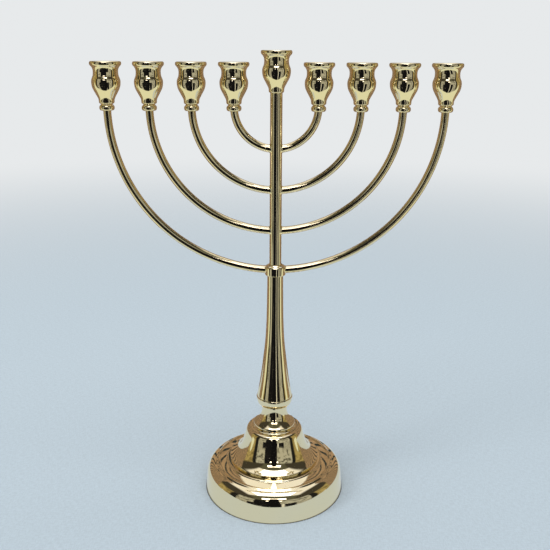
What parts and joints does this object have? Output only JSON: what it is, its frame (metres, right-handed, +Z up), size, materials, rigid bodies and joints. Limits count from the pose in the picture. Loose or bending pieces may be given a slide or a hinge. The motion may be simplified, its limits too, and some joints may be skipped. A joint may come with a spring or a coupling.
{
  "type": "menorah",
  "caption": "Branched candle holder: curved tubes in one plane rise from a turned pedestal on a round base, each ending in a vase-shaped cup, with a higher centre cup.",
  "frame": {"origin": "centre of the base, on the surface it stands on", "axes": "+Z up, +X along the row of cups, -Y towards the viewer"},
  "size_m": [0.3582, 0.147, 0.46],
  "materials": {
    "gold_plate": "mirror polished pale gold plating",
    "cup_gold": "mirror polished pale gold plating, satin inside the sockets",
    "bare_brass": "turned, unplated",
    "steel": "zinc-plated thread",
    "cover_board": "matt black",
    "felt": "pressed felt"
  },
  "bodies": {
    "pedestal": {"foot_shell": "gold_plate", "knob_shell": "gold_plate", "bell_collar": "gold_plate", "lower_stem": "gold_plate", "stem_socket": "bare_brass", "tie_rod": "steel", "rod_washer": "steel", "rod_nut": "steel", "base_disc": "cover_board", "felt_pad": "felt"},
    "branch_head": {"stem_tube": "gold_plate", "arm_collar": "gold_plate", "head_spigot": "bare_brass", "stem_plug": "bare_brass", "stud_shamash": "steel", "arm_left_1": "gold_plate", "ferrule_left_1": "gold_plate", "stud_left_1": "steel", "arm_right_1": "gold_plate", "ferrule_right_1": "gold_plate", "stud_right_1": "steel", "arm_left_2": "gold_plate", "ferrule_left_2": "gold_plate", "stud_left_2": "steel", "arm_right_2": "gold_plate", "ferrule_right_2": "gold_plate", "stud_right_2": "steel", "arm_left_3": "gold_plate", "ferrule_left_3": "gold_plate", "stud_left_3": "steel", "arm_right_3": "gold_plate", "ferrule_right_3": "gold_plate", "stud_right_3": "steel", "arm_left_4": "gold_plate", "ferrule_left_4": "gold_plate", "stud_left_4": "steel", "arm_right_4": "gold_plate", "ferrule_right_4": "gold_plate", "stud_right_4": "steel"},
    "shamash": {"cup_shamash": "cup_gold"},
    "light_left_1": {"cup_left_1": "cup_gold"},
    "light_right_1": {"cup_right_1": "cup_gold"},
    "light_left_2": {"cup_left_2": "cup_gold"},
    "light_right_2": {"cup_right_2": "cup_gold"},
    "light_left_3": {"cup_left_3": "cup_gold"},
    "light_right_3": {"cup_right_3": "cup_gold"},
    "light_left_4": {"cup_left_4": "cup_gold"},
    "light_right_4": {"cup_right_4": "cup_gold"}
  },
  "joints": [
    {"name": "head_turn", "type": "hinge", "parent": "pedestal", "child": "branch_head", "pos_m": [0, 0, 0.237], "axis": [0, 0, 1], "continuous": true},
    {"name": "shamash_lift", "type": "slide", "parent": "branch_head", "child": "shamash", "axis": [0, 0, 1], "range_m": [0, 0.012]},
    {"name": "light_left_1_lift", "type": "slide", "parent": "branch_head", "child": "light_left_1", "axis": [0, 0, 1], "range_m": [0, 0.012]},
    {"name": "light_right_1_lift", "type": "slide", "parent": "branch_head", "child": "light_right_1", "axis": [0, 0, 1], "range_m": [0, 0.012]},
    {"name": "light_left_2_lift", "type": "slide", "parent": "branch_head", "child": "light_left_2", "axis": [0, 0, 1], "range_m": [0, 0.012]},
    {"name": "light_right_2_lift", "type": "slide", "parent": "branch_head", "child": "light_right_2", "axis": [0, 0, 1], "range_m": [0, 0.012]},
    {"name": "light_left_3_lift", "type": "slide", "parent": "branch_head", "child": "light_left_3", "axis": [0, 0, 1], "range_m": [0, 0.012]},
    {"name": "light_right_3_lift", "type": "slide", "parent": "branch_head", "child": "light_right_3", "axis": [0, 0, 1], "range_m": [0, 0.012]},
    {"name": "light_left_4_lift", "type": "slide", "parent": "branch_head", "child": "light_left_4", "axis": [0, 0, 1], "range_m": [0, 0.012]},
    {"name": "light_right_4_lift", "type": "slide", "parent": "branch_head", "child": "light_right_4", "axis": [0, 0, 1], "range_m": [0, 0.012]}
  ]
}
